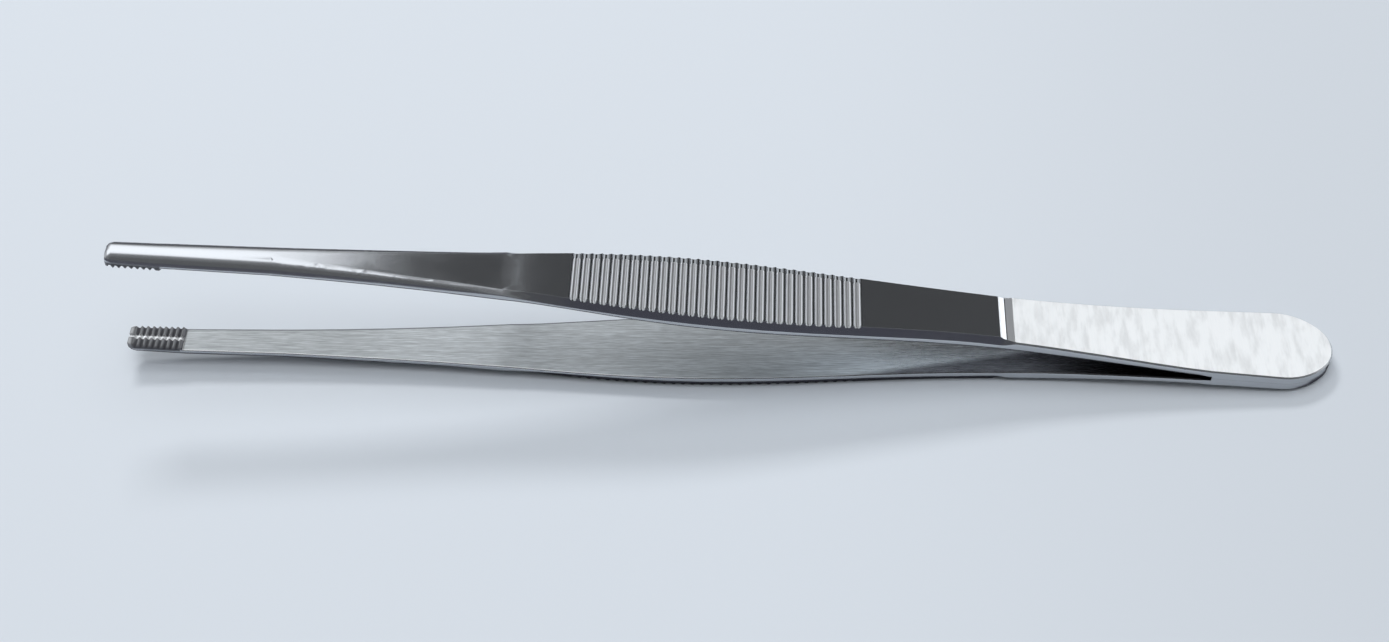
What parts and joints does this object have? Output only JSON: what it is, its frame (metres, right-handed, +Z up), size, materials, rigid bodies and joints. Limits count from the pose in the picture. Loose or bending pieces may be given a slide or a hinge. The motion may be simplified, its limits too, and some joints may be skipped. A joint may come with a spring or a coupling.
{
  "type": "thumb forceps",
  "caption": "Slim spring tweezers with two bowed steel arms welded at the rear, a ribbed thumb grip on each arm, and narrow jaws with two rows of fine teeth.",
  "frame": {"origin": "under the middle of the outline, on the table that the forceps rest on", "axes": "+X from the jaws to the welded tail, +Y across the arms, +Z up from the table"},
  "size_m": [0.1504, 0.0104, 0.0209],
  "materials": {
    "arm_steel": "satin stainless steel, brushed along the inner faces and across the rear pad, brighter along the rounded edges"
  },
  "bodies": {
    "root": {"upper_arm": "arm_steel", "lower_arm": "arm_steel"}
  },
  "joints": []
}
